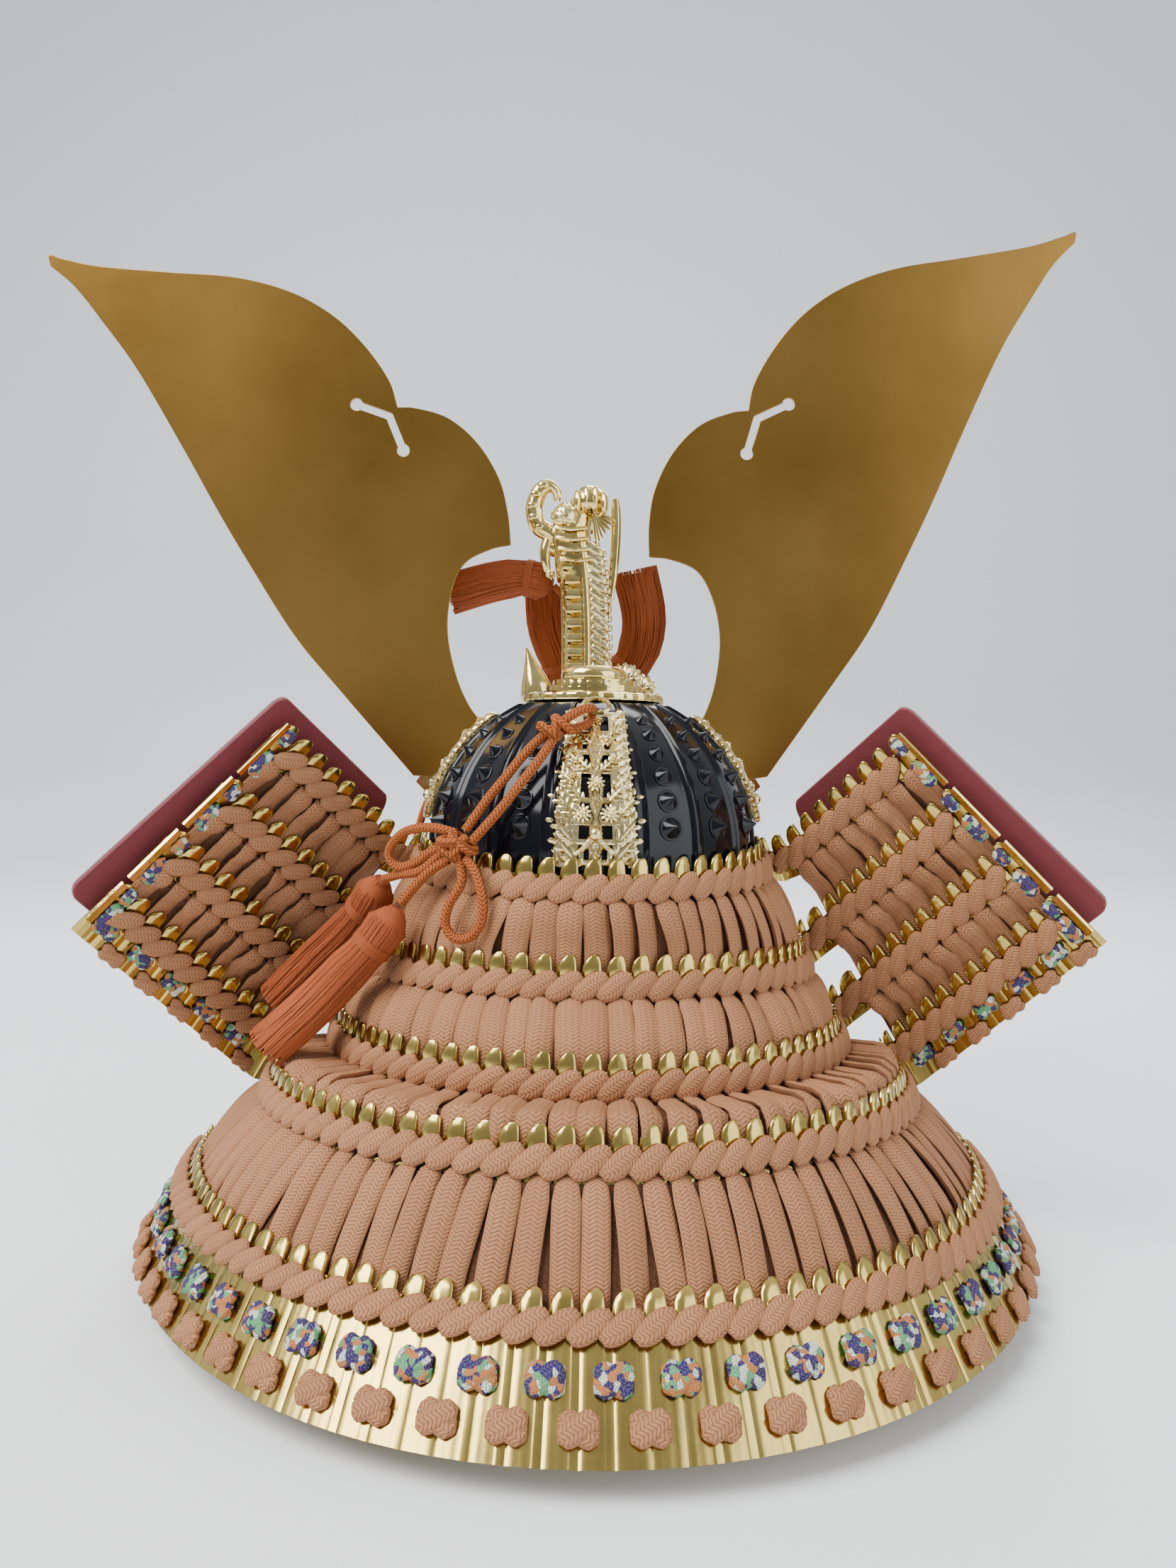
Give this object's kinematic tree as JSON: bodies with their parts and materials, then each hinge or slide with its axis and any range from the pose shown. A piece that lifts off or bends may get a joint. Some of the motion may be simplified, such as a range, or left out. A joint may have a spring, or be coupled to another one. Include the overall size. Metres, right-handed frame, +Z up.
{
  "type": "samurai helmet",
  "caption": "Kabuto helmet with a riveted bowl, laced neck guard with turned-back wings, flat slotted horns, dragon crest, cord bow and tassels.",
  "frame": {"origin": "inside of the crown on the bowl's centre line, where a head or a stand holds the helmet up", "axes": "+Z up, -Y towards the visor and horns, +Y towards the neck guard, +X towards the wearer's left"},
  "size_m": [0.3533, 0.2439, 0.3195],
  "materials": {
    "gilt": "gold finish with pressed scales",
    "bright_gilt": "bright gilt, cast or pierced",
    "satin_brass": "satin",
    "black_lacquer": "gloss black lacquer",
    "tan_braid": "flat braid",
    "mixed_braid": "braid in white, green, purple and orange",
    "rust_cord": "round braided cord and silky strands",
    "maroon_board": "cloth-covered board"
  },
  "bodies": {
    "root": {"lame_one": "gilt", "twisted_row_one": "tan_braid", "lacing_one": "tan_braid", "wing_twisted_row_one_left": "tan_braid", "wing_twisted_row_one_right": "tan_braid", "wing_lacing_one_left": "tan_braid", "wing_lacing_one_right": "tan_braid", "lame_two": "gilt", "twisted_row_two": "tan_braid", "lacing_two": "tan_braid", "wing_twisted_row_two_left": "tan_braid", "wing_twisted_row_two_right": "tan_braid", "wing_lacing_two_left": "tan_braid", "wing_lacing_two_right": "tan_braid", "lame_three": "gilt", "twisted_row_three": "tan_braid", "lacing_three": "tan_braid", "wing_twisted_row_three_left": "tan_braid", "wing_twisted_row_three_right": "tan_braid", "wing_lacing_three_left": "tan_braid", "wing_lacing_three_right": "tan_braid", "lame_four": "gilt", "twisted_row_four": "tan_braid", "lacing_four": "tan_braid", "wing_twisted_row_four_left": "tan_braid", "wing_twisted_row_four_right": "tan_braid", "lame_five": "gilt", "twisted_row_five": "tan_braid", "wing_board_left": "maroon_board", "wing_edge_braid_left": "mixed_braid", "wing_board_right": "maroon_board", "wing_edge_braid_right": "mixed_braid", "bowl": "black_lacquer", "panel_back": "bright_gilt", "panel_left": "bright_gilt", "panel_front": "bright_gilt", "panel_right": "bright_gilt", "finial": "bright_gilt", "visor": "black_lacquer", "visor_edge": "bright_gilt", "horn_left": "satin_brass", "horn_right": "satin_brass", "horn_base": "bright_gilt", "dragon_crest": "bright_gilt", "cord_ring": "bright_gilt", "cord_bow": "rust_cord", "bow_tassel_front": "rust_cord", "bow_tassel_back": "rust_cord", "chin_tassel_left": "rust_cord", "chin_tassel_middle": "rust_cord", "chin_tassel_right": "rust_cord", "chin_cord": "rust_cord", "chin_knot": "rust_cord"}
  },
  "joints": []
}
